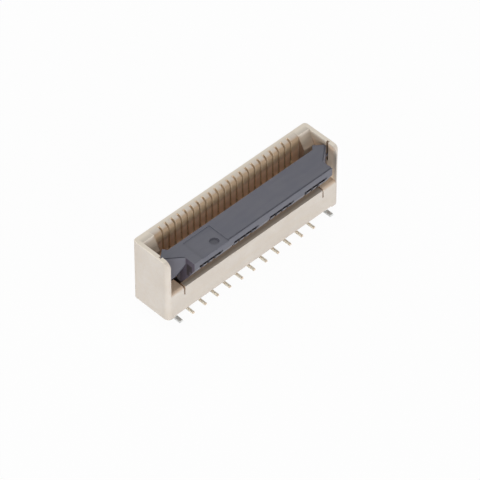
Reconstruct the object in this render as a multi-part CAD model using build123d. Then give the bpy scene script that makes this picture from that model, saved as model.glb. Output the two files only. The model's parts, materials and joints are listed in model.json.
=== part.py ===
from build123d import *
import os

# Upright surface-mount connector for a flat flexible circuit, half-millimetre pitch, flip lock shut.
# Millimetres.  X runs along the row of contacts, +Y is the rear, Z = 0 is the face of the board.
# Side profiles are drawn as (back, up): back is the distance from the rear face towards the front.

# The circuit that the connector takes, and the row of contacts
contact_count = 22
contact_pitch = 0.5
circuit_thickness = 0.3
circuit_margin = 0.5        # middle of the outer contact to the circuit's side edge
circuit_side_play = 0.15    # circuit's side edge to the end of the mouth
circuit_slack = 0.1         # mouth wider than the circuit is thick

# Stamped contacts
contact_thickness = 0.13
contact_side_gap = 0.01     # contact to the wall of its groove, each side
contact_seat_gap = 0.03     # contact to the groove in the plane of the stamping
base_bar_height = 0.35
base_bar_lift = 0.1         # base bar above the raised underside
spring_root = 0.22
spring_tip = 0.12
spring_below_top = 0.56     # top of the spring under the top of the housing
spring_behind_rib = 0.02    # its upper end stands this far behind the faces of the ribs
contact_bump = 0.05         # spring's bump past the faces of the ribs
column_width = 0.2
hook_width = 0.15
hook_past_top = 0.12        # how far the hook reaches behind the middle of the shaft
leg_width = 0.18
foot_thickness = 0.15
foot_reach = 0.27           # toe beyond the face of the housing
barb_height = 0.02

# Moulded housing
back_wall = 0.28            # solid wall behind the grooves
rib_depth = 0.38
front_wall = 0.42
end_wall = 0.28
row_to_pocket_end = 1.54    # middle of the outer contact to the inner face of the end wall
housing_top = 5.16
standing_gap = 0.45         # underside of the end feet above the board
underside_rise = 0.1        # middle of the underside above the end feet
end_foot = 0.57             # length of each end foot along the row
front_wall_top = 2.42
mouth_floor = 1.5
rib_round = 0.33            # radius of the rounded tops of the ribs
guide_top = 0.59            # guide block at the top, from the rear face
guide_body = 1.11           # guide block lower down
guide_slope = 0.9           # height of the slope on the guide block
front_top_radius = 0.5
front_corner_radius = 0.34
rear_corner_radius = 0.25
slit_width = 0.1
slit_beyond_row = 0.46      # middle of the slit beyond the outer contact
slit_depth = 0.62
block_edge_round = 0.25
block_depth = 0.9           # end blocks, from the front
end_pit_floor = 1.85        # floor of the pits behind the end blocks
end_pit_wall = 0.25         # pit to the guide block behind it
end_pit_beyond_row = 0.2    # inner side of the pit beyond the outer contact
outer_edge_round = 0.05     # outer edges round the top and the ends

# Flip lock
pivot_below_top = 1.06      # pivot under the top of the housing
mouth_to_pivot = 1.1        # front of the mouth to the pivot
shaft_radius = 0.12
shaft_play = 0.03           # shaft to the inside of the hooks
lever_play = 0.04           # plate to the outside of the hooks
plate_thickness = 0.42
plate_front = 1.57          # front edge of the plate before the pivot
plate_rear = 0.35           # rear edge of the plate behind the pivot
nose_drop = 0.75            # pressing nose below the pivot
nail_edge = 0.42            # height of the front strip
nail_line = 0.06            # width of the line behind the top of the strip
nail_line_depth = 0.035
nail_line_back = 0.05       # line behind the front edge
nail_pocket_back = 0.62     # pockets under the strip, between the tabs, from the front edge
nail_pocket_drop = 0.5      # floor of the pockets below the strip
nail_notch = 0.2            # notches in the rim under the pockets, one to a contact
skirt_drop = 0.52           # lower edge of the skirt below the pivot
skirt_back = 0.41           # and behind the front edge
skirt_gap = 0.05            # back of the skirt to the columns
nail_tab_drop = 0.13        # the tabs hang this far below the strip
nail_tab_width = 0.9
nail_tab_pitch = 2.9
nail_end_tab = 0.42
bar_beyond_row = 0.4        # end of the bar beyond the outer contact
wing_gap = 0.05             # wing to the end wall
wing_corner = 0.83          # where the slanting face of the wing meets the bar, before the pivot
wing_outer_front = -0.04    # and where it meets the side of the wing
wing_sheet = 0.24           # thickness of the slanting face
wing_tip = (0.3, -1.0)      # lowest point of that face, before and above the pivot
wing_tip_rise = 0.25        # and the rise of its lower edge from there to the end wall
wing_line = 0.07            # width and depth of the line along the top of that face
wing_step = 0.5             # step in the rear edge, beyond the end of the bar
wing_rear = 0.63            # rearmost point of the wing behind the pivot
arm_inner_beyond_row = 0.17
arm_drop = 1.55             # underside of the arms below the pivot
arm_foot = (0.1, 0.45)      # and its rear and front, before the pivot
comb_gap = 0.06             # tooth of the lock to the contact beside it, each side
nose_gap = 0.02             # pressing nose to the face of the circuit
trunnion_radius = 0.07
cheek_radius = 0.36         # round end of the cheek that carries the trunnion
cheek_thickness = 0.3
trunnion_reach = 0.14       # how far the trunnion enters the end wall
trunnion_play = 0.02
trunnion_slot_drop = 0.45   # bottom of the slot below the pivot
panel_edge = -2.85          # inner end of the shallow panel on the plate
panel_length = 2.15
panel_rise = 0.05
panel_margin = 0.22
dimple_place = (-3.49, 0.98) # along the row, and in front of the pivot
dimple_radius = 0.3
dimple_depth = 0.13

# Solder tabs
tab_beyond_row = 1.0
tab_thickness = 0.24
tab_side_gap = 0.015
tab_height = 1.1
tab_shoulder = 0.3          # tab's edges from the faces of the housing

# Sizes that follow from those above
row_half = (contact_count - 1) * contact_pitch / 2
pocket_half = row_half + row_to_pocket_end
housing_half = pocket_half + end_wall
mouth_half = row_half + circuit_margin + circuit_side_play
rib_face = back_wall + rib_depth
mouth_front = rib_face + circuit_thickness + circuit_slack
pivot_back = mouth_front + mouth_to_pivot
column_rear = pivot_back + shaft_radius + shaft_play
column_front = column_rear + column_width
groove_front = column_front + contact_seat_gap
housing_depth = groove_front + front_wall
underside = standing_gap + underside_rise
bar_low = underside + base_bar_lift
bar_high = bar_low + base_bar_height
groove_width = contact_thickness + 2 * contact_side_gap
pivot_up = housing_top - pivot_below_top
hook_inner = shaft_radius + shaft_play
hook_outer = hook_inner + hook_width
plate_low = pivot_up + hook_outer + lever_play
plate_high = plate_low + plate_thickness
nose_back = rib_face + contact_bump + circuit_thickness + nose_gap
bar_half = row_half + bar_beyond_row
wing_half = pocket_half - wing_gap
tab_middle = row_half + tab_beyond_row


def side_face(points):
    """A flat side profile from (back, up) points."""
    return make_face(Polyline([(housing_depth / 2 - back, up) for back, up in points], close=True))


def side_box(back_from, back_to, up_from, up_to):
    """A rectangle in the side view."""
    return side_face([(back_from, up_from), (back_to, up_from), (back_to, up_to), (back_from, up_to)])


def along(face, x_from, x_to):
    """Sweep a side profile straight along the row, between two X positions."""
    return extrude(Plane.YZ.offset(x_from) * face, amount=x_to - x_from)


def both_ends(solid):
    """The solid and its mirror image at the other end of the row."""
    return solid + mirror(solid, about=Plane.YZ)


def contact_x(index):
    return (index - (contact_count - 1) / 2) * contact_pitch


def make_shell():
    """The outside of the housing: rounded uprights, and end walls with a rounded front top corner."""
    plan = Rectangle(2 * housing_half, housing_depth)
    block = extrude(plan, amount=housing_top - standing_gap)
    block = Pos(0, 0, standing_gap) * block
    uprights = block.edges().filter_by(Axis.Z)
    front = uprights.group_by(Axis.Y)[0]
    block = fillet(front, front_corner_radius)
    rear = block.edges().filter_by(Axis.Z).group_by(Axis.Y)[-1]
    block = fillet(rear, rear_corner_radius)
    back = housing_depth - front_top_radius
    up = housing_top - front_top_radius
    corner = side_box(back, housing_depth + 1, up, housing_top + 1)
    corner -= Pos(housing_depth / 2 - back, up) * Circle(front_top_radius)
    block -= along(corner, -housing_half - 1, housing_half + 1)

    # round the rim, other than the full-length line where the front curve runs into the flat top
    rim = block.edges().filter_by_position(Axis.Z, up + 0.01, housing_top + 1)
    rim = [edge for edge in rim if edge.length < 2 * housing_half - 0.01]
    return fillet(rim, outer_edge_round)


def contact_groove():
    """One contact's groove: up the rear wall, across the base, and up inside the front wall."""
    base = side_box(back_wall, groove_front, standing_gap - 1, bar_high + contact_seat_gap)
    rear = side_box(back_wall, rib_face, standing_gap, housing_top + 1)
    front = side_box(column_rear - contact_seat_gap, groove_front, standing_gap, front_wall_top + 1)
    return base + rear + front


def make_housing():
    shell = make_shell()
    high = housing_top + 1
    far = housing_depth + 1

    # pocket for the lock, open to the front and the top, with a guide block in each rear corner
    pocket = side_face([
        (guide_top, high), (guide_top, housing_top), (guide_body, housing_top - guide_slope),
        (guide_body, front_wall_top), (far, front_wall_top), (far, high),
    ])
    shell -= along(pocket, -pocket_half, pocket_half)
    shell -= along(side_box(rib_face, far, front_wall_top, high), -mouth_half, mouth_half)
    shell -= along(side_box(rib_face, mouth_front, mouth_floor, high), -mouth_half, mouth_half)

    # lead-in: rounded tops of the ribs
    top = side_box(rib_face - rib_round, far, housing_top - rib_round, high)
    centre = (housing_depth / 2 - rib_face + rib_round, housing_top - rib_round)
    top -= Pos(centre[0], centre[1]) * Circle(rib_round)
    shell -= along(top, -mouth_half, mouth_half)

    # a groove for each contact
    groove = contact_groove()
    for index in range(contact_count):
        middle = contact_x(index)
        shell -= along(groove, middle - groove_width / 2, middle + groove_width / 2)

    # slits that part the front wall from the end blocks, and the rounded edges of those blocks
    slit_middle = row_half + slit_beyond_row
    block_rear = housing_depth - block_depth
    slit = side_box(block_rear - 0.05, far, front_wall_top - slit_depth, high)
    shell -= both_ends(along(slit, slit_middle - slit_width / 2, slit_middle + slit_width / 2))
    edge = side_box(housing_depth - block_edge_round, far, front_wall_top - block_edge_round, high)
    centre = (block_edge_round - housing_depth / 2, front_wall_top - block_edge_round)
    edge -= Pos(centre[0], centre[1]) * Circle(block_edge_round)
    shell -= both_ends(along(edge, slit_middle + slit_width / 2, pocket_half))

    # raised underside between the end feet
    rise = side_box(-1, far, standing_gap - 1, underside)
    shell -= along(rise, end_foot - housing_half, housing_half - end_foot)

    # slots for the solder tabs, open below
    slot_half = tab_thickness / 2 + tab_side_gap
    tab_slot = side_box(tab_shoulder - contact_seat_gap, housing_depth - tab_shoulder + contact_seat_gap,
                        standing_gap - 1, bar_low + tab_height + contact_seat_gap)
    shell -= both_ends(along(tab_slot, tab_middle - slot_half, tab_middle + slot_half))

    # pits under the wings of the lock, behind the end blocks and behind the ends of the front wall
    pit_rear = guide_body + end_pit_wall
    pit = side_box(pit_rear, block_rear, end_pit_floor, high)
    shell -= both_ends(along(pit, slit_middle, pocket_half))
    pit = side_box(pit_rear, groove_front, end_pit_floor, high)
    shell -= both_ends(along(pit, row_half + end_pit_beyond_row, slit_middle))

    # slots that the trunnions of the lock drop into, open at the top, with round bottoms
    radius = trunnion_radius + trunnion_play
    bottom = pivot_up - trunnion_slot_drop + radius
    slot = side_box(pivot_back - radius, pivot_back + radius, bottom, high)
    slot += Pos(housing_depth / 2 - pivot_back, bottom) * Circle(radius)
    return shell - both_ends(along(slot, pocket_half, pocket_half + trunnion_reach))


def foot_outline(inner, outer, toe):
    """Leg and foot of a tail: (back, up) points from the inside of the leg round the toe."""
    out = 1 if toe > outer else -1
    bend = foot_thickness
    return [
        (inner, bar_low), (inner, bend / 2), (inner + out * bend / 2, 0), (toe - out * 0.04, 0),
        (toe, 0.05), (toe, foot_thickness - 0.03), (toe - out * 0.03, foot_thickness),
        (outer + out * 0.05, foot_thickness), (outer, foot_thickness + 0.05), (outer, bar_low),
    ]


def contact_profile(front_tail):
    """The whole stamping in side view: spring, base bar, column with its hook, and one tail."""
    rear = back_wall + contact_seat_gap
    bump = rib_face + contact_bump
    bump_up = pivot_up - nose_drop - 0.05
    spring_top = housing_top - spring_below_top
    face = rib_face - spring_behind_rib
    spring = side_face([
        (rear, bar_low), (rear + spring_root + 0.1, bar_low), (rear + spring_root + 0.1, bar_high),
        (rear + spring_root, bar_high + 0.12), (face, bump_up - 0.3), (bump, bump_up - 0.1),
        (bump, bump_up + 0.02), (face, bump_up + 0.25), (face, spring_top - 0.15),
        (face - 0.06, spring_top), (face - spring_tip, spring_top),
        (face - spring_tip, bump_up - 0.3), (rear, bar_high + 0.12),
    ])
    bar = side_box(rear, column_front, bar_low, bar_high)
    column = side_face([
        (column_rear, bar_low), (column_front, bar_low), (column_front, underside + 0.7),
        (column_front + barb_height, underside + 0.74), (column_front, underside + 0.9),
        (column_front, pivot_up - 0.25), (pivot_back + hook_outer, pivot_up), (column_rear, pivot_up),
    ])
    ring = Circle(hook_outer) - Circle(hook_inner)
    kept = Rectangle(hook_outer + hook_past_top, hook_outer)
    ring &= Pos((hook_past_top - hook_outer) / 2, hook_outer / 2) * kept
    hook = Pos(housing_depth / 2 - pivot_back, pivot_up) * ring
    if front_tail:
        tail = side_face(foot_outline(column_front - leg_width, column_front, housing_depth + foot_reach))
    else:
        tail = side_face(foot_outline(rear + leg_width, rear, -foot_reach))
    return spring + bar + column + hook + tail


def make_contact(index, profile):
    middle = contact_x(index)
    return along(profile, middle - contact_thickness / 2, middle + contact_thickness / 2)


def make_solder_tab(side):
    """Stamped plate that stands in an end block, with a foot at the front and one at the rear."""
    rear = tab_shoulder
    front = housing_depth - tab_shoulder
    plate = side_face([(rear, bar_low), (front, bar_low), (front, bar_low + tab_height - 0.1),
                       (front - 0.1, bar_low + tab_height), (rear + 0.1, bar_low + tab_height),
                       (rear, bar_low + tab_height - 0.1)])
    front_foot = side_face(foot_outline(front - leg_width, front, housing_depth + foot_reach))
    rear_foot = side_face(foot_outline(rear + leg_width, rear, -foot_reach))
    middle = side * tab_middle
    return along(plate + front_foot + rear_foot, middle - tab_thickness / 2, middle + tab_thickness / 2)


def lock_face(points):
    """A side profile from points measured from the pivot: (in front of it, above it)."""
    return side_face([(pivot_back + ahead, pivot_up + above) for ahead, above in points])


def make_plate():
    """Bar of the lock: plate, skirt in front of the columns, and the finger edge with its low tabs."""
    low = plate_low - pivot_up
    high = plate_high - pivot_up
    skirt_rear = column_front + skirt_gap - pivot_back
    edge = (plate_front - skirt_back, -skirt_drop)
    strip = high - nail_edge
    section = lock_face([
        (-plate_rear, low), (-plate_rear, high), (plate_front, high), (plate_front, strip),
        edge, (edge[0] - 0.08, edge[1] - 0.03), (skirt_rear, edge[1] - 0.03), (skirt_rear, low),
    ])
    plate = along(section, -bar_half, bar_half)

    # fine line behind the top of the strip
    groove = pivot_back + plate_front - nail_line_back
    line = side_box(groove - nail_line, groove, plate_high - nail_line_depth, plate_high + 1)
    plate -= along(line, panel_edge, bar_half)

    # low tabs under the strip: three along it and one at each end
    tab = lock_face([
        (plate_front, strip + 0.01), (plate_front, strip - nail_tab_drop), edge, (edge[0] - 0.1, strip),
    ])
    for step in (-1, 0, 1):
        middle = step * nail_tab_pitch
        plate += along(tab, middle - nail_tab_width / 2, middle + nail_tab_width / 2)
    plate += both_ends(along(tab, bar_half - nail_end_tab, bar_half))

    # pockets under the strip between the tabs, and notches in the rim below each pocket
    bottom = pivot_back + plate_front - nail_pocket_back
    strip_up = pivot_up + strip
    pocket = side_box(bottom, pivot_back + plate_front + 1, strip_up - nail_pocket_drop, strip_up)
    notch = side_box(bottom, pivot_back + plate_front + 1, pivot_up - 1, strip_up)
    near = nail_tab_width / 2
    middle = nail_tab_pitch - nail_tab_width / 2
    outer = nail_tab_pitch + nail_tab_width / 2
    plate -= both_ends(along(pocket, near, middle) + along(pocket, outer, bar_half - nail_end_tab))
    half = nail_notch / 2
    for index in range(contact_count):
        x = contact_x(index)
        if near + half < abs(x) < middle or outer + half < abs(x) < bar_half - nail_end_tab:
            plate -= along(notch, x - half, x + half)
    return plate


def make_teeth():
    """Teeth of the lock: each stands between two contacts and ends in the nose that presses the circuit."""
    low = plate_low - pivot_up
    nose = nose_back - pivot_back
    skirt_rear = column_front + skirt_gap - pivot_back
    tooth = lock_face([
        (-plate_rear, low + 0.1), (nose + 0.08, 0.1 - nose_drop), (nose, -nose_drop),
        (nose, -0.1 - nose_drop), (nose + 0.08, -0.17 - nose_drop), (-0.45, -0.45),
        (0.1, -0.3), (skirt_rear + 0.05, -0.3), (skirt_rear + 0.05, low + 0.1),
    ])
    tooth_half = (contact_pitch - contact_thickness) / 2 - comb_gap
    teeth = []
    for index in range(contact_count - 1):
        middle = contact_x(index) + contact_pitch / 2
        teeth.append(along(tooth, middle - tooth_half, middle + tooth_half))
    end_from = row_half + contact_thickness / 2 + comb_gap
    teeth.append(both_ends(along(tooth, end_from, row_half + arm_inner_beyond_row + 0.05)))
    return teeth


def make_arm():
    """End arm of the lock: it hangs under the end of the bar and spreads outward as a slanting wing."""
    low = plate_low - pivot_up
    high = plate_high - pivot_up
    inner = row_half + arm_inner_beyond_row
    foot = [
        (arm_foot[1] + 0.15, 0.2 - arm_drop), (arm_foot[1], -arm_drop), (arm_foot[0], -arm_drop),
        (-0.2, -0.6), (-plate_rear, -0.2),
    ]
    under_bar = lock_face([
        (-plate_rear, high), (plate_front - 0.2, high), (plate_front - 0.2, high - nail_edge),
        (plate_front - skirt_back, -skirt_drop),
    ] + foot)
    arm = along(under_bar, inner, bar_half)

    # roof of the wing, level with the plate
    front_y = housing_depth / 2 - pivot_back
    corner_y = front_y - wing_corner
    outer_y = front_y - wing_outer_front
    roof = make_face(Polyline([
        (inner, front_y + plate_rear), (bar_half + wing_step - 0.2, front_y + plate_rear),
        (bar_half + wing_step, front_y + wing_rear), (wing_half, front_y + wing_rear - 0.48),
        (wing_half, outer_y), (bar_half, corner_y), (inner, corner_y),
    ], close=True))
    wing = Pos(0, 0, plate_low) * extrude(roof, amount=plate_high - plate_low)

    # slanting face that hangs from the front edge of the roof, open behind it
    sheet = make_face(Polyline([
        (bar_half - 0.1, corner_y), (bar_half, corner_y), (wing_half, outer_y),
        (wing_half, outer_y + wing_sheet), (bar_half, corner_y + wing_sheet),
        (bar_half - 0.1, corner_y + wing_sheet),
    ], close=True))
    sheet = Pos(0, 0, pivot_up - arm_drop) * extrude(sheet, amount=low + arm_drop + 0.1)
    outer_edge = (wing_outer_front - wing_sheet, wing_tip[1] + wing_tip_rise)
    under = lock_face([
        (wing_corner, 0.26), wing_tip, (wing_outer_front, outer_edge[1]), outer_edge,
        (outer_edge[0], -3), (3, -3), (3, 0.26),
    ])
    wing += sheet - along(under, inner - 1, wing_half + 1)

    # line along the top of the slanting face
    slope = (wing_corner - wing_outer_front) / (wing_half - bar_half)
    line_from = (bar_half - 0.1, corner_y - 0.1 * slope + 0.04)
    line_to = (wing_half + 0.1, outer_y + 0.1 * slope + 0.04)
    line = make_face(Polyline([
        line_from, line_to, (line_to[0], line_to[1] + wing_line), (line_from[0], line_from[1] + wing_line),
    ], close=True))
    wing -= Pos(0, 0, plate_high - wing_line) * extrude(line, amount=1)

    # cheek beside the end wall, which carries the trunnion, cut back to the slanting face
    cheek = side_box(pivot_back - cheek_radius, pivot_back + cheek_radius, pivot_up, plate_low + 0.1)
    cheek += Pos(front_y, pivot_up) * Circle(cheek_radius)
    cheek = along(cheek, wing_half - cheek_thickness, wing_half)
    before = make_face(Polyline([
        (bar_half, corner_y + 0.02), (line_to[0], line_to[1] - 0.02), (line_to[0], -9), (bar_half, -9),
    ], close=True))
    return arm + wing + (cheek - extrude(before, amount=9))


def make_lock():
    """The flip lock, shut: plate, teeth between the contacts, end arms, shaft and trunnions."""
    lock = make_plate()
    for tooth in make_teeth():
        lock += tooth
    lock += both_ends(make_arm())
    axis = Pos(housing_depth / 2 - pivot_back, pivot_up)
    shaft_half = row_half + arm_inner_beyond_row + 0.1
    lock += along(axis * Circle(shaft_radius), -shaft_half, shaft_half)
    trunnion_end = pocket_half + trunnion_reach - trunnion_play
    lock += both_ends(along(axis * Circle(trunnion_radius), wing_half - 0.2, trunnion_end))

    # shallow panel at the left of the plate, and the plain round dimple in it
    panel_rear = pivot_back - plate_rear + panel_margin
    panel = side_box(panel_rear, pivot_back + plate_front + 1, plate_high - panel_rise, plate_high + 1)
    lock -= along(panel, panel_edge - panel_length, panel_edge)
    x, ahead = dimple_place
    dimple = Pos(x, housing_depth / 2 - pivot_back - ahead, plate_high - panel_rise - dimple_depth)
    return lock - dimple * Cylinder(dimple_radius, 1, align=(Align.CENTER, Align.CENTER, Align.MIN))


os.makedirs("parts", exist_ok=True)
export_step(make_housing(), "parts/housing.step")
export_step(make_lock(), "parts/actuator.step")
front_contact = contact_profile(True)
rear_contact = contact_profile(False)
for number in range(contact_count):
    stamping = front_contact if number % 2 == 0 else rear_contact
    export_step(make_contact(number, stamping), f"parts/contact_{number + 1:02d}.step")
export_step(make_solder_tab(-1), "parts/solder_tab_left.step")
export_step(make_solder_tab(1), "parts/solder_tab_right.step")
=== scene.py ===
# Looks of the connector. The CAD nodes are the visible shapes, so this script adds no piece of its own:
# it gives the nodes their materials, and adds the floor, the lamps and the camera.
import json
import math

import bpy
from mathutils import Matrix, Vector


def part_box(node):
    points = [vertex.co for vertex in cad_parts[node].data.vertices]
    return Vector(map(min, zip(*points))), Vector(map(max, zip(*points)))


MM = 0.001
WHITE = (1, 1, 1, 1)

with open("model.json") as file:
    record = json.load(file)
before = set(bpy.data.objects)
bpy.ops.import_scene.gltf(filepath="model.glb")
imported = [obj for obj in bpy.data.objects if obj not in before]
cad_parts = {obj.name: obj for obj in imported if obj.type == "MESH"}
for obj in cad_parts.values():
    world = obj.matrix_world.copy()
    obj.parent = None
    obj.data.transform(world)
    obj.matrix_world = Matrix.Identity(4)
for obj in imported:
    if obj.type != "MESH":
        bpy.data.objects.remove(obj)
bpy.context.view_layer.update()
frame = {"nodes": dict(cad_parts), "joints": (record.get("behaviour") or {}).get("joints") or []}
nodes = frame["nodes"]


# Places on the part, in millimetres: X along the row from its middle, Y to the rear, Z up from the board

def box_in_mm(node):
    """Lowest and highest corner of a CAD node at rest, in millimetres."""
    low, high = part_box(node)
    return low / MM, high / MM


housing_low, housing_high = box_in_mm("housing")
lock_low, lock_high = box_in_mm("actuator")
contact_low, contact_high = box_in_mm("contact_22")
hinge = Vector(frame["joints"][0]["pos_m"]) / MM
contact_count = sum(name.startswith("contact") for name in nodes)

# Along the row: the same on both sides of its middle
row_end = (contact_low.x + contact_high.x) / 2      # middle of the outer contact
contact_pitch = 2 * row_end / (contact_count - 1)
groove_half = (contact_high.x - contact_low.x) / 2 + 0.01       # half the width of a contact's groove
pit_side = row_end + 0.2        # inner sides of the pits behind the end blocks
bar_end = row_end + 0.4         # ends of the lock's bar, where its wings begin
slit_inner = row_end + 0.41     # slits that part the front wall from the end blocks
slit_outer = slit_inner + 0.1
mouth_end = row_end + 0.65      # ends of the mouth, and the inner sides of the guide blocks
pocket_end = housing_high.x - 0.28      # inner faces of the end walls

# From the rear to the front
rear_face = housing_high.y
groove_bottom = rear_face - 0.28        # solid wall behind the grooves
rib_face = groove_bottom - 0.38         # front of the ribs between the grooves
guide_top_front = rear_face - 0.59      # front of the guide blocks, at the top
guide_front = rear_face - 1.11          # and under their slopes
front_face = housing_low.y
block_rear = front_face + 0.9           # end blocks, from the front face
front_wall_rear = front_face + 0.42
plate_front = lock_low.y        # front edge of the lock's plate
finger_pocket_rear = plate_front + 0.62
finger_rim_rear = plate_front + 0.41
toe_end = contact_high.y        # tips of the feet, and just as far out at the front

# Upwards
foot_top = 0.15         # thickness of the contacts' feet, which lie on the board
underside = housing_low.z + 0.1         # of the housing, between its own feet
front_wall_top = 2.42
finger_rim_low = hinge.z - 0.52         # lower edge of the rim under the lock's front edge
spring_top = contact_high.z
plate_top = lock_high.z
plate_under = plate_top - 0.42          # plate of the lock, 0.42 thick
finger_pocket_floor = plate_under - 0.5
housing_top = housing_high.z
guide_slope_foot = housing_top - 0.9


# Materials

def srgb(red, green, blue):
    """Linear colour from an 8-bit one, by the sRGB curve."""
    def linear(value):
        value = value / 255
        return value / 12.92 if value <= 0.04045 else ((value + 0.055) / 1.055) ** 2.4
    return (linear(red), linear(green), linear(blue), 1.0)


class Nodes:
    """Short calls for building one material. The texture space is the part's own frame, in metres.

    A limit is (axis, place, start, full), in millimetres. Its share is 0 at start and 1 at full, which are
    both measured from the place. "|X" and "|Y" count both ways from the middle of the part."""

    # nearly all of a noise lies between these two values
    NOISE_LOW = 0.3
    NOISE_HIGH = 0.7

    def __init__(self, name):
        self.material = bpy.data.materials.new(name)
        self.material.use_nodes = True
        self.tree = self.material.node_tree
        self.tree.nodes.clear()
        self.out = self.tree.nodes.new("ShaderNodeOutputMaterial")
        self.shader = self.tree.nodes.new("ShaderNodeBsdfPrincipled")
        self.link(self.shader.outputs[0], self.out.inputs[0])
        self.place = self.tree.nodes.new("ShaderNodeTexCoord").outputs["Object"]

    def link(self, output, socket):
        self.tree.links.new(output, socket)

    def set(self, **values):
        for name, value in values.items():
            self.shader.inputs[name.replace("_", " ")].default_value = value

    def noise(self, size_mm, detail=4.0, rough=0.5, stretch=(1, 1, 1)):
        """Noise whose blotches are about size_mm across."""
        mapping = self.tree.nodes.new("ShaderNodeMapping")
        mapping.inputs["Scale"].default_value = [1 / MM / size_mm / s for s in stretch]
        self.link(self.place, mapping.inputs["Vector"])
        noise = self.tree.nodes.new("ShaderNodeTexNoise")
        noise.inputs["Scale"].default_value = 1.0
        noise.inputs["Detail"].default_value = detail
        noise.inputs["Roughness"].default_value = rough
        self.link(mapping.outputs[0], noise.inputs["Vector"])
        return noise.outputs["Fac"]

    def ramp(self, value, low, high, from_low=NOISE_LOW, from_high=NOISE_HIGH):
        """From low to high, as the value goes from from_low to from_high, and held beyond them."""
        node = self.tree.nodes.new("ShaderNodeMapRange")
        node.inputs["From Min"].default_value = from_low
        node.inputs["From Max"].default_value = from_high
        node.inputs["To Min"].default_value = low
        node.inputs["To Max"].default_value = high
        self.link(value, node.inputs["Value"])
        return node.outputs["Result"]

    def mix(self, amount, base, colour):
        """The base at amount 0, the colour at amount 1."""
        node = self.tree.nodes.new("ShaderNodeMix")
        node.data_type = "RGBA"
        self.link(amount, node.inputs["Factor"])
        sockets = [socket for socket in node.inputs if socket.type == "RGBA"]
        for socket, value in zip(sockets, (base, colour)):
            if isinstance(value, tuple):
                socket.default_value = value
            else:
                self.link(value, socket)
        return [output for output in node.outputs if output.type == "RGBA"][0]

    def math(self, operation, first, second=None):
        node = self.tree.nodes.new("ShaderNodeMath")
        node.operation = operation
        for socket, value in zip(node.inputs, (first, second)):
            if isinstance(value, (int, float)):
                socket.default_value = value
            elif value is not None:
                self.link(value, socket)
        return node.outputs[0]

    def axes(self):
        split = self.tree.nodes.new("ShaderNodeSeparateXYZ")
        self.link(self.place, split.inputs[0])
        return split.outputs

    def within(self, *limits):
        """The shares of all the limits, multiplied."""
        axes = self.axes()
        total = None
        for axis, place, start, full in limits:
            value = axes[axis.strip("|")]
            if axis.startswith("|"):
                value = self.math("ABSOLUTE", value)
            if start < full:
                share = self.ramp(value, 0, 1, (place + start) * MM, (place + full) * MM)
            else:
                share = self.ramp(value, 1, 0, (place + full) * MM, (place + start) * MM)
            total = share if total is None else self.math("MULTIPLY", total, share)
        return total

    def tint(self, base, colour, strength, share):
        """The base with the colour over it, by the strength where the share is 1."""
        return self.mix(self.math("MULTIPLY", share, strength), base, colour)

    def grooves(self, inside, outside):
        """1 out to inside from the middle of each contact's groove, and 0 past outside, in mm."""
        half_pitch = contact_pitch / 2
        wave = self.math("PINGPONG", self.axes()["X"], half_pitch * MM)
        return self.ramp(wave, 0, 1, (half_pitch - outside) * MM, (half_pitch - inside) * MM)

    def bump(self, heights, strength, depth_mm):
        previous = None
        for value in heights:
            node = self.tree.nodes.new("ShaderNodeBump")
            node.inputs["Strength"].default_value = strength
            node.inputs["Distance"].default_value = depth_mm * MM
            self.link(value, node.inputs["Height"])
            if previous is not None:
                self.link(previous, node.inputs["Normal"])
            previous = node.outputs[0]
        self.link(previous, self.shader.inputs["Normal"])


# Limits that tints of the housing share. The tints are painted shade and light: browner down in the
# pocket, where light reaches it only through the thin walls, and dark where the lock covers it.
before_rear_wall = ("Y", groove_bottom, 0.25, 0.13)
behind_hinge = ("Y", hinge.y, -0.1, 0.05)
before_hinge = ("Y", hinge.y, 0.05, -0.1)
before_guides = ("Y", guide_front, 0.05, 0)
inside_end_walls = ("|X", pocket_end, 0.04, 0.01)


def light_on_rims(n, base):
    """Painted light: pale top edges of the end walls, the rear wall and the guide blocks."""
    at_top = ("Z", housing_top, -0.05, 0)
    end_walls = n.within(("|X", pocket_end, -0.04, 0.01), at_top)
    rear_wall = n.within(("Y", groove_bottom, -0.2, 0.13), at_top)
    guides = n.within(("|X", mouth_end, 0, 0.05), at_top)
    lit_rims = n.math("MAXIMUM", n.math("MAXIMUM", end_walls, rear_wall), guides)
    return n.tint(base, srgb(240, 230, 214), 0.9, lit_rims)


def shade_and_light_on_row(n, base):
    """Painted shade and light on the ribs and grooves: brown shade at the top, paler at the hinge's height
    and a little darker below it.
    """
    row = [("|X", mouth_end, 0.2, 0), before_rear_wall, ("Y", front_wall_rear, -0.07, 0.03)]
    base = n.tint(base, srgb(157, 132, 104), 0.95, n.within(*row, ("Z", housing_top, 0.01, -0.11)))
    base = n.tint(base, srgb(255, 216, 181), 0.95, n.within(*row, ("Z", hinge.z, 0.48, 0.05)))
    return n.tint(base, srgb(236, 196, 161), 0.95, n.within(*row, ("Z", hinge.z, -0.05, -0.4)))


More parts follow.
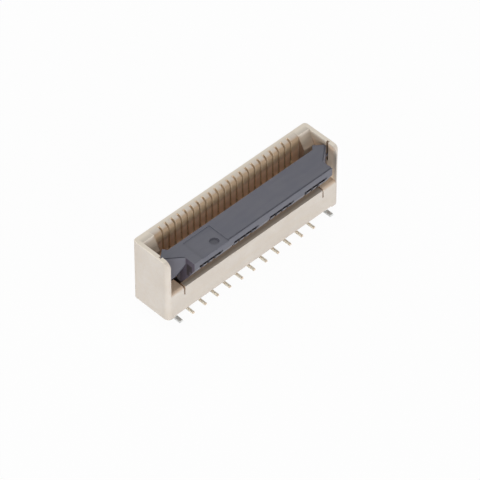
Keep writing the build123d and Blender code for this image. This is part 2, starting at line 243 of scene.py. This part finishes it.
def shade_and_light_on_ends(n, base):
    """Painted shade and light on the guide blocks and the inner faces of the end walls, behind the hinge
    and in front of it.
    """
    ends = [("|X", mouth_end, -0.1, 0.1), ("|X", pocket_end, 0.16, 0.03), before_rear_wall,
            ("Z", housing_top, -0.02, -0.2)]
    base = n.tint(base, srgb(163, 148, 131), 0.9, n.within(*ends, behind_hinge))

    # painted light low on the guide blocks, and painted shade low on the end walls
    low_guides = n.within(*ends, ("|X", pocket_end, 0, -0.05), ("Y", guide_front, -0.07, 0.03),
                          ("Z", guide_slope_foot, 0.44, -0.01))
    base = n.tint(base, srgb(250, 227, 203), 0.92, low_guides)
    low_walls = n.within(*ends, ("|X", pocket_end, -0.03, 0), behind_hinge, ("Z", hinge.z, 0.75, 0.3))
    base = n.tint(base, srgb(200, 172, 146), 0.9, low_walls)
    guide_tops = n.within(("|X", mouth_end, 0, 0.1), ("|X", pocket_end, 0.06, -0.04),
                          ("Y", guide_top_front, -0.09, -0.04), ("Y", groove_bottom, 0.05, -0.2),
                          ("Z", housing_top, -0.08, -0.03))
    base = n.tint(base, srgb(206, 196, 182), 0.9, guide_tops)

    # painted shade in front of the hinge, lighter low down where more light reaches
    front = [*ends, before_hinge, ("Y", front_face, 0.05, 0.35)]
    base = n.tint(base, srgb(206, 181, 156), 0.92, n.within(*front))
    return n.tint(base, srgb(255, 236, 212), 0.92, n.within(*front, ("Z", hinge.z, 0.65, 0.25)))


def tint_front(n, base):
    """The end blocks and the top of the front wall, browner where the lock shades them."""
    blocks = n.within(("|X", slit_outer, 0, 0.02), inside_end_walls, ("Y", front_face, 0.01, 0.08),
                      ("Y", block_rear, 0.03, -0.02), ("Z", front_wall_top, 0.08, 0.03))
    base = n.tint(base, srgb(200, 178, 156), 0.9, blocks)
    wall = n.within(("|X", slit_outer, 0, -0.06), ("Y", front_face, 0.01, 0.25),
                    ("Y", front_wall_rear, 0.13, 0.03), ("Z", front_wall_top, 0.18, 0.08))
    return n.tint(base, srgb(146, 133, 121), 0.85, wall)


def shade_and_light_in_hollows(n, base):
    """Painted shade in the sides of the guide blocks, the slots of the trunnions, the pits and the slits,
    and painted light in the grooves over the springs.
    """
    guide_sides = n.within(("|X", mouth_end, -0.03, -0.01), ("|X", mouth_end, 0.03, 0.01),
                           ("Y", guide_front, -0.06, 0.02), ("Y", rib_face, 0.02, -0.05),
                           ("Z", housing_top, -0.1, -0.5))
    base = n.tint(base, srgb(125, 98, 78), 0.9, guide_sides)
    slots = n.within(("|X", pocket_end, 0.005, 0.02), ("|X", pocket_end, 0.2, 0.16),
                     ("Y", hinge.y, -0.13, -0.11), ("Y", hinge.y, 0.13, 0.11),
                     ("Z", housing_top, -0.01, -0.05))
    base = n.tint(base, srgb(160, 139, 120), 0.9, slots)

    # painted shade: near-black pits behind and beside the end blocks
    dark = srgb(50, 48, 47)
    past_pit_side = ("|X", pit_side, -0.35, -0.15)
    pits = n.within(past_pit_side, inside_end_walls, ("Y", block_rear, -0.01, 0.01), before_guides,
                    ("Z", front_wall_top, -0.02, -0.07))
    base = n.tint(base, dark, 0.95, pits)
    pits_by_wall = n.within(past_pit_side, ("|X", slit_inner, 0.01, -0.01),
                            ("Y", front_wall_rear, -0.02, 0.01), before_guides,
                            ("Z", front_wall_top, -0.01, -0.04))
    base = n.tint(base, dark, 0.95, pits_by_wall)

    # painted warm shade in the slits
    slits = n.within(("|X", slit_inner, -0.005, 0.005), ("|X", slit_outer, 0.005, -0.005),
                     ("Y", front_face, 0.01, 0.05), ("Y", block_rear, 0.01, -0.05),
                     ("Z", front_wall_top, -0.005, -0.02))
    base = n.tint(base, srgb(190, 140, 80), 0.95, slits)
    # painted light: paler grooves above the springs
    over_springs = n.within(("|X", row_end, 0.15, 0.1), ("Y", rib_face, -0.05, -0.01),
                            ("Y", groove_bottom, 0.07, 0.03), ("Z", spring_top, -0.4, -0.1))
    in_grooves = n.grooves(inside=groove_half + 0.002, outside=groove_half + 0.008)
    return n.tint(base, srgb(222, 203, 178), 0.92, n.math("MULTIPLY", in_grooves, over_springs))


def housing_resin():
    """Ivory filled resin: faint blotches, flow marks along the row and a fine brown grain."""
    n = Nodes("housing_resin")
    blotch = n.noise(1.6, detail=3.0)
    grain = n.noise(0.09, detail=5.0, rough=0.6)
    flow = n.noise(0.35, rough=0.55, stretch=(5, 1, 1))
    base = n.mix(n.ramp(blotch, 0, 1), srgb(209, 202, 194), srgb(203, 194, 184))
    base = n.mix(n.ramp(flow, 0, 0.35, from_low=0.45, from_high=0.75), base, srgb(203, 190, 172))
    base = n.mix(n.ramp(grain, 0, 0.25, from_low=0.5, from_high=0.8), base, srgb(190, 176, 156))
    # painted shade and light over the resin's own colour
    for tint_part in (light_on_rims, shade_and_light_on_row, shade_and_light_on_ends, tint_front, shade_and_light_in_hollows):
        base = tint_part(n, base)
    n.link(base, n.shader.inputs["Base Color"])
    n.link(n.ramp(grain, 0.52, 0.68), n.shader.inputs["Roughness"])
    n.set(Specular_IOR_Level=0.35)
    n.bump([grain, flow], strength=0.35, depth_mm=0.006)
    return n.material


def lock_resin():
    """Dark blue-grey nylon, with flow marks along the bar and a pale fine grain."""
    n = Nodes("lock_resin")
    blotch = n.noise(1.1, detail=3.0)
    grain = n.noise(0.07, detail=5.0, rough=0.6)
    flow = n.noise(0.3, stretch=(7, 1, 1))
    base = n.mix(n.ramp(blotch, 0, 1), srgb(92, 93, 103), srgb(99, 99, 107))
    base = n.mix(n.ramp(flow, 0, 0.4, from_low=0.45, from_high=0.75), base, srgb(84, 85, 96))
    base = n.mix(n.ramp(grain, 0, 0.3, from_low=0.55, from_high=0.8), base, srgb(112, 112, 120))

    # painted shade on the end faces of the bar
    shaded_bar_ends = n.within(("|X", bar_end, -0.025, -0.01), ("|X", bar_end, 0.01, 0.002),
                        ("Y", hinge.y, -0.3, -0.35), ("Z", plate_top, 0, -0.02))
    base = n.tint(base, srgb(73, 66, 79), 0.9, shaded_bar_ends)
    # painted light on the wings below the top of the plate
    wings = n.within(("|X", bar_end, 0.01, 0.05), ("Z", plate_top, -0.02, -0.06))
    base = n.tint(base, srgb(108, 107, 117), 0.6, wings)

    # painted shade: dark pockets under the finger edge, and the notches in the rim below them
    before_pocket_rear = ("Y", finger_pocket_rear, 0.05, 0.02)
    pockets = n.within(before_pocket_rear, ("Y", plate_front, 0.2, 0.24),
                       ("Z", finger_pocket_floor, -0.02, -0.005), ("Z", plate_under, -0.003, -0.008))
    notches = n.within(before_pocket_rear, ("Y", finger_rim_rear, 0.01, 0.05),
                       ("Z", finger_rim_low, -0.08, -0.02), ("Z", finger_pocket_floor, 0.01, 0))
    base = n.tint(base, srgb(34, 29, 32), 0.9, n.math("ADD", pockets, notches))

    n.link(base, n.shader.inputs["Base Color"])
    n.link(n.ramp(grain, 0.42, 0.58), n.shader.inputs["Roughness"])
    n.set(Specular_IOR_Level=0.45)
    n.bump([grain, flow], strength=0.35, depth_mm=0.005)
    return n.material


def contact_plating():
    """Bronze inside the housing, gold on the legs below it, and near-white feet, a painted reflection of
    the white floor, with browner toes.
    """
    n = Nodes("contact_plating")
    grain = n.noise(0.05, rough=0.6)
    streak = n.noise(0.03, detail=3.0, stretch=(1, 12, 12))
    bronze = n.mix(n.ramp(grain, 0, 1), (0.62, 0.44, 0.26, 1), (0.52, 0.36, 0.21, 1))
    gold = n.mix(n.ramp(grain, 0, 1), (0.92, 0.68, 0.38, 1), (0.86, 0.6, 0.31, 1))
    # painted reflection: the feet's near-white colour stands in for the white floor seen in their plating
    floor_reflection = n.mix(n.ramp(grain, 0, 1), (1.0, 0.94, 0.8, 1), (0.96, 0.89, 0.74, 1))
    foot = n.within(("Z", foot_top, 0.15, 0.01))
    base = n.mix(n.within(("Z", underside, 0.05, -0.05)), bronze, gold)
    base = n.mix(foot, base, floor_reflection)
    toe = n.math("MULTIPLY", foot, n.within(("|Y", toe_end, -0.13, -0.04)))
    base = n.tint(base, (0.66, 0.53, 0.41, 1), 0.8, toe)
    n.link(base, n.shader.inputs["Base Color"])
    n.link(n.ramp(foot, 1, 0, from_low=0, from_high=1), n.shader.inputs["Metallic"])
    duller_foot = n.ramp(foot, 0, 0.2, from_low=0, from_high=1)
    n.link(n.math("ADD", n.ramp(streak, 0.26, 0.38), duller_foot), n.shader.inputs["Roughness"])
    n.bump([streak], strength=0.25, depth_mm=0.002)
    return n.material


def tab_plating():
    """Matt tin plating of the solder tabs."""
    n = Nodes("tab_plating")
    grain = n.noise(0.06, rough=0.6)
    base = n.mix(n.ramp(grain, 0, 1), (0.66, 0.67, 0.66, 1), (0.58, 0.59, 0.58, 1))
    n.link(base, n.shader.inputs["Base Color"])
    n.set(Metallic=0.3)
    n.link(n.ramp(grain, 0.34, 0.46), n.shader.inputs["Roughness"])
    n.bump([grain], strength=0.12, depth_mm=0.002)
    return n.material


def dress_nodes():
    """Give every CAD node the material of its kind, which is the first word of its name."""
    looks = {
        "housing": housing_resin(),
        "actuator": lock_resin(),
        "contact": contact_plating(),
        "solder": tab_plating(),
    }
    for name, piece in nodes.items():
        material = looks[name.split("_")[0]]
        if not piece.material_slots:
            piece.data.materials.append(material)
        for entry in piece.material_slots:
            entry.material = material


# Studio: places and sizes in metres, angles in degrees

floor_half = 0.6            # half the side of the square floor
floor_white = 0.96          # share of plain white where the floor is seen; the rest shows the shadow
floor_return = (0.8, 0.8, 0.8, 1)       # colour of the light that the floor gives back
world_strength = 0.3
body_middle = (0, 0, 0.003)             # points that the lamps face
base_middle = (0, 0, 0.002)

# The camera, as fitted to the corners, grooves and feet in the photograph
photo_pixels = 480
view_azimuth = -44.37       # from straight in front, to the left
view_elevation = 45.63
view_roll = 0.15
view_distance = 0.2365
view_target = Vector((0, 0, housing_top / 2 * MM))
lens_mm = 300.1
sensor_mm = 36
shift_pixels = (2.7, -16.64)


def seen_directly(tree):
    """1 for rays from the camera, a gloss or a clear material, and 0 for rays that carry light."""
    path = tree.nodes.new("ShaderNodeLightPath")
    total = path.outputs["Is Camera Ray"]
    for name in ("Is Glossy Ray", "Is Transmission Ray"):
        add = tree.nodes.new("ShaderNodeMath")
        add.operation = "MAXIMUM"
        tree.links.new(total, add.inputs[0])
        tree.links.new(path.outputs[name], add.inputs[1])
        total = add.outputs[0]
    return total


def floor_material():
    """White with a faint shadow where it is seen, and plain matt for the light that it gives back."""
    material = bpy.data.materials.new("studio_floor")
    material.use_nodes = True
    tree = material.node_tree
    tree.nodes.clear()
    out = tree.nodes.new("ShaderNodeOutputMaterial")
    diffuse = tree.nodes.new("ShaderNodeBsdfDiffuse")
    diffuse.inputs["Color"].default_value = floor_return
    glow = tree.nodes.new("ShaderNodeEmission")
    glow.inputs["Color"].default_value = WHITE
    mix = tree.nodes.new("ShaderNodeMixShader")
    share = tree.nodes.new("ShaderNodeMath")
    share.operation = "MULTIPLY"
    share.inputs[1].default_value = floor_white
    tree.links.new(seen_directly(tree), share.inputs[0])
    tree.links.new(share.outputs[0], mix.inputs[0])
    tree.links.new(diffuse.outputs[0], mix.inputs[1])
    tree.links.new(glow.outputs[0], mix.inputs[2])
    tree.links.new(mix.outputs[0], out.inputs[0])
    return material


def add_floor():
    mesh = bpy.data.meshes.new("studio_floor")
    corners = [(x * floor_half, y * floor_half, 0) for x, y in ((-1, -1), (1, -1), (1, 1), (-1, 1))]
    mesh.from_pydata(corners, [], [(0, 1, 2, 3)])
    floor = bpy.data.objects.new("studio_floor", mesh)
    bpy.context.scene.collection.objects.link(floor)
    mesh.materials.append(floor_material())


def add_lamp(name, place, size, power, aim=body_middle):
    """A soft rectangular lamp that faces the point aim."""
    light = bpy.data.lights.new(name, "AREA")
    light.shape = "RECTANGLE"
    light.size, light.size_y = size
    light.energy = power
    lamp = bpy.data.objects.new(name, light)
    lamp.location = place
    lamp.rotation_euler = (Vector(aim) - Vector(place)).to_track_quat("-Z", "Y").to_euler()
    bpy.context.scene.collection.objects.link(lamp)


def add_world():
    """Plain white where it is seen, and dimmer for the light that it gives."""
    world = bpy.data.worlds.new("studio")
    world.use_nodes = True
    tree = world.node_tree
    tree.nodes.clear()
    out = tree.nodes.new("ShaderNodeOutputWorld")
    background = tree.nodes.new("ShaderNodeBackground")
    background.inputs["Color"].default_value = WHITE
    level = tree.nodes.new("ShaderNodeMapRange")
    level.inputs["To Min"].default_value = world_strength
    level.inputs["To Max"].default_value = 1.0
    tree.links.new(seen_directly(tree), level.inputs["Value"])
    tree.links.new(level.outputs["Result"], background.inputs["Strength"])
    tree.links.new(background.outputs[0], out.inputs[0])
    bpy.context.scene.world = world


def add_camera():
    """The camera at the photograph's angle: from the front, the left and above."""
    azimuth = math.radians(view_azimuth)
    elevation = math.radians(view_elevation)
    roll = math.radians(view_roll)
    level = math.cos(elevation)
    back = Vector((math.sin(azimuth) * level, -math.cos(azimuth) * level, math.sin(elevation)))
    right = Vector((math.cos(azimuth), math.sin(azimuth), 0))
    up = back.cross(right)
    rolled_right = right * math.cos(roll) + up * math.sin(roll)
    rolled_up = up * math.cos(roll) - right * math.sin(roll)

    camera = bpy.data.cameras.new("camera")
    camera.lens = lens_mm
    camera.sensor_width = sensor_mm
    camera.sensor_fit = "HORIZONTAL"
    camera.clip_start = 0.01
    camera.clip_end = 10
    camera.shift_x = shift_pixels[0] / photo_pixels
    camera.shift_y = shift_pixels[1] / photo_pixels
    holder = bpy.data.objects.new("camera", camera)
    rotation = Matrix((rolled_right, rolled_up, back)).transposed().to_4x4()
    holder.matrix_world = Matrix.Translation(view_target + back * view_distance) @ rotation
    bpy.context.scene.collection.objects.link(holder)
    bpy.context.scene.camera = holder


dress_nodes()
add_floor()
add_world()
add_lamp("left", place=(-0.20, -0.02, 0.045), size=(0.24, 0.09), power=0.268)
add_lamp("front", place=(0.02, -0.20, 0.045), size=(0.26, 0.09), power=0.305)
add_lamp("rear", place=(0.02, 0.22, 0.06), size=(0.26, 0.09), power=0.12)
add_lamp("top", place=(0.02, 0.05, 0.22), size=(0.12, 0.12), power=0.10, aim=base_middle)
add_camera()
bpy.context.scene.view_settings.view_transform = "Standard"
